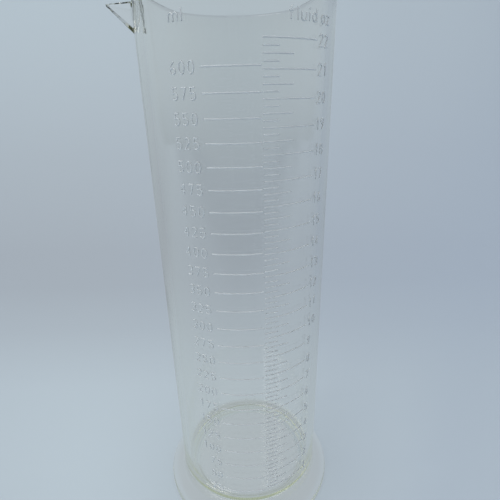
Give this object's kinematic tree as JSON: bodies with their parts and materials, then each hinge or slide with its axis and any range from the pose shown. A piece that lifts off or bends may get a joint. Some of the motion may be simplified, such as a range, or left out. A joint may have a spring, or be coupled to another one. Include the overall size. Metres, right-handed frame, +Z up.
{
  "type": "graduated cylinder",
  "caption": "Tall clear plastic measuring graduate: tapered barrel on a flared hollow foot, V-shaped pour spout at the rim, raised millilitre and fluid-ounce scales.",
  "frame": {"origin": "centre of the ring that the foot stands on, in the plane of the table", "axes": "+Z up along the barrel, from the foot to the rim; -Y is the front, where the two scales meet; +X is to the right of someone who reads the scales"},
  "size_m": [0.0853, 0.0826, 0.22],
  "materials": {
    "clear_plastic": "clear, faintly yellowed, glossy",
    "raised_marks": "clear, glossy, raised from the wall"
  },
  "bodies": {
    "root": {"barrel": "clear_plastic", "floor_disc": "clear_plastic", "foot": "clear_plastic", "pour_spout": "clear_plastic", "ml_lines": "raised_marks", "fluid_ounce_lines": "raised_marks", "half_ounce_lines": "raised_marks", "quarter_ounce_lines": "raised_marks", "ml_numerals": "raised_marks", "fluid_ounce_numerals": "raised_marks", "ml_heading": "raised_marks", "fluid_ounce_heading": "raised_marks"}
  },
  "joints": []
}
